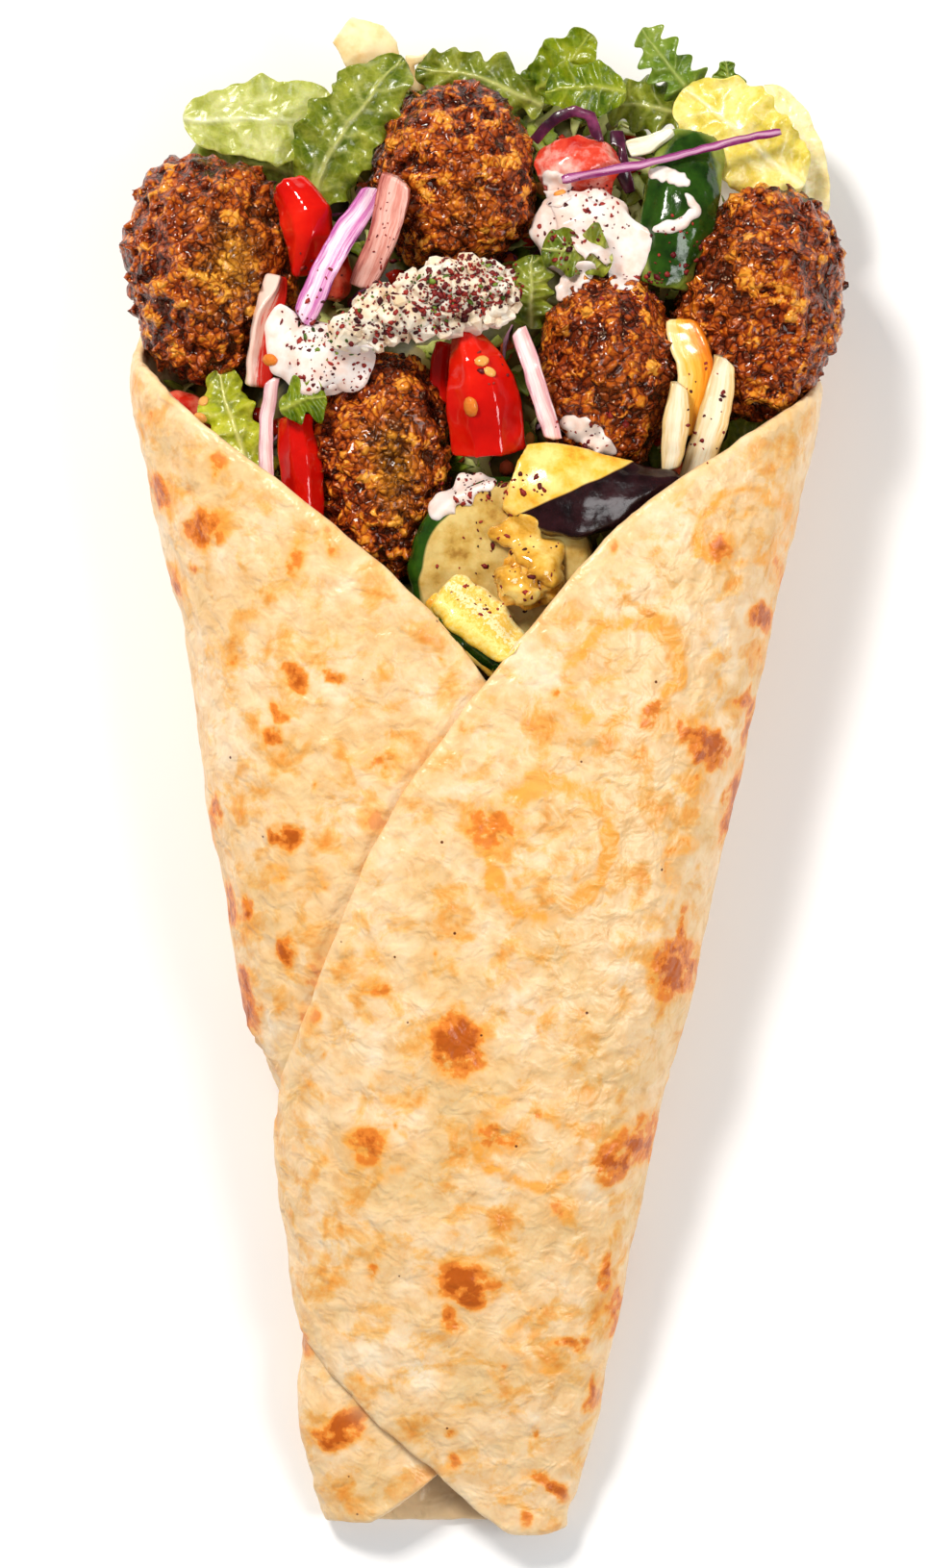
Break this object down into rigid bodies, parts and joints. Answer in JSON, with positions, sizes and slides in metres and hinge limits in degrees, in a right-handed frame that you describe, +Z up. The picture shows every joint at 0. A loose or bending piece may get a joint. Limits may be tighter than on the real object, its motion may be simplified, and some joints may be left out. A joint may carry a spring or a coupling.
{
  "type": "falafel wrap",
  "caption": "Round flatbread rolled into an open cone round falafel balls, mixed salad, roast vegetables, pickled onion, yogurt and feta, lying on its back.",
  "frame": {"origin": "centre of the bounding box on the plane that the wrap's flat back rests on", "axes": "+Y from the rolled tip to the open mouth, +Z up through the crossed flaps, +X to the side of the outer flap"},
  "size_m": [0.1342, 0.2868, 0.0517],
  "materials": {
    "baked_flatbread": "matte, floury, toasted in spots",
    "fried_falafel_crust": "rough crumb crust with a little oil",
    "lettuce": "satin, moist",
    "pale_lettuce_rib": "satin, moist",
    "dark_green_leaf": "satin",
    "red_pepper": "glossy, wet",
    "tomato": "glossy, wet",
    "yellow_pepper": "glossy, wet",
    "onion": "satin, slightly clear",
    "red_cabbage": "satin",
    "cucumber": "glossy peel",
    "grilled_courgette": "oily, browned",
    "roast_aubergine": "glossy skin",
    "yogurt_sauce": "glossy cream",
    "crumbled_feta": "matte crumbs",
    "mixed_salad": "satin, uneven"
  },
  "bodies": {
    "root": {"falafel_left": "fried_falafel_crust", "falafel_top": "fried_falafel_crust", "falafel_right": "fried_falafel_crust", "falafel_middle": "fried_falafel_crust", "falafel_low": "fried_falafel_crust", "pepper_red_tall": "red_pepper", "pepper_red_dark": "red_pepper", "pepper_red_left": "red_pepper", "pepper_red_pale": "red_pepper", "pepper_red_low": "red_pepper", "tomato_left": "tomato", "tomato_back": "tomato", "tomato_middle": "tomato", "pepper_yellow": "yellow_pepper", "onion_arc": "onion", "onion_piece": "onion", "onion_white": "onion", "onion_clear": "onion", "onion_clear_inner": "onion", "onion_thin": "onion", "cabbage_thread": "red_cabbage", "cabbage_loop": "red_cabbage", "cabbage_dark": "red_cabbage", "cabbage_white": "onion", "aubergine": "roast_aubergine", "courgette_wedge": "grilled_courgette", "courgette_fold": "grilled_courgette", "cucumber": "cucumber", "yogurt_left": "yogurt_sauce", "feta": "crumbled_feta", "yogurt_right": "yogurt_sauce", "lettuce_left": "lettuce", "lettuce_left_inner": "lettuce", "lettuce_behind_left": "lettuce", "lettuce_top": "lettuce", "spinach_back": "dark_green_leaf", "spinach_front": "dark_green_leaf", "rocket_leaf": "dark_green_leaf", "rocket_tip": "dark_green_leaf", "lettuce_middle": "lettuce", "lettuce_yellow": "lettuce", "lettuce_cream": "pale_lettuce_rib", "pale_leaf_top": "pale_lettuce_rib", "pale_leaf_small": "pale_lettuce_rib", "lettuce_on_yogurt": "lettuce", "lettuce_frill": "lettuce", "lettuce_low_left": "lettuce", "basil_bit": "dark_green_leaf", "lettuce_low_right": "lettuce", "flatbread": "baked_flatbread", "courgette_slice": "grilled_courgette", "salad_bed": "mixed_salad"}
  },
  "joints": []
}
